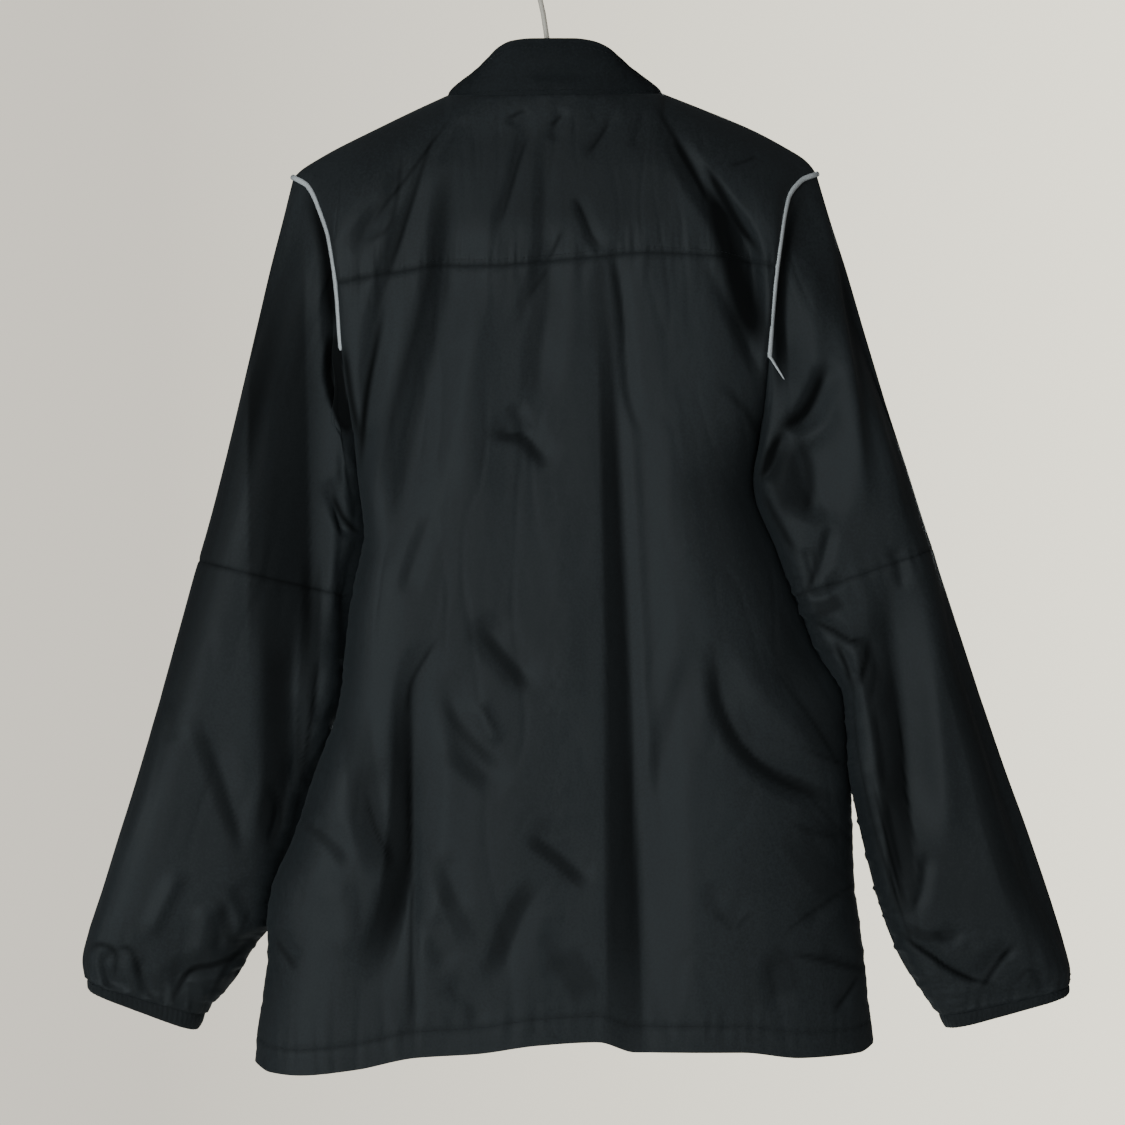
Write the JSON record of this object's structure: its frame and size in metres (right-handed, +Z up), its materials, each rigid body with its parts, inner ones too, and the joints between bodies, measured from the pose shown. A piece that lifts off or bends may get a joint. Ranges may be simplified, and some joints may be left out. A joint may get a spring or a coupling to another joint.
{
  "type": "windbreaker jacket on a hanger",
  "caption": "Thin windbreaker jacket with stand collar, piped armholes, back yoke and full front zip, hanging open at hem, cuffs and neck on a plain hanger.",
  "frame": {"origin": "inside top of the hanger's hook, where it rests on a rail", "axes": "+Z up, the back of the jacket faces -Y, the front with its zip faces +Y, and the wearer's left is -X"},
  "size_m": [0.769, 0.1075, 0.8844],
  "materials": {
    "shell": "softly shining thin woven polyester",
    "collar_cloth": "matte woven",
    "cuff_knit": "matte elastic binding",
    "piping_cloth": "light grey satin cord",
    "zip_tape": "woven tape with moulded teeth",
    "zip_metal": "satin",
    "hanger_plastic": "satin",
    "hook_metal": "satin cream paint"
  },
  "bodies": {
    "jacket": {"back_yoke": "shell", "back_body": "shell", "front_left": "shell", "front_right": "shell", "sleeve_left_upper": "shell", "sleeve_left_lower": "shell", "sleeve_right_upper": "shell", "sleeve_right_lower": "shell", "collar": "collar_cloth", "cuff_left": "cuff_knit", "cuff_right": "cuff_knit", "piping_left": "piping_cloth", "piping_right": "piping_cloth", "zip": "zip_tape", "zip_slider": "zip_metal", "hanger_arms": "hanger_plastic", "hanger_hook": "hook_metal"},
    "pull": {"zip_pull": "zip_metal"}
  },
  "joints": [
    {"name": "pull_swing", "type": "hinge", "parent": "jacket", "child": "pull", "pos_m": [0, 0.05119, -0.236], "axis": [1, 0, 0], "range_deg": [0, 150]}
  ]
}
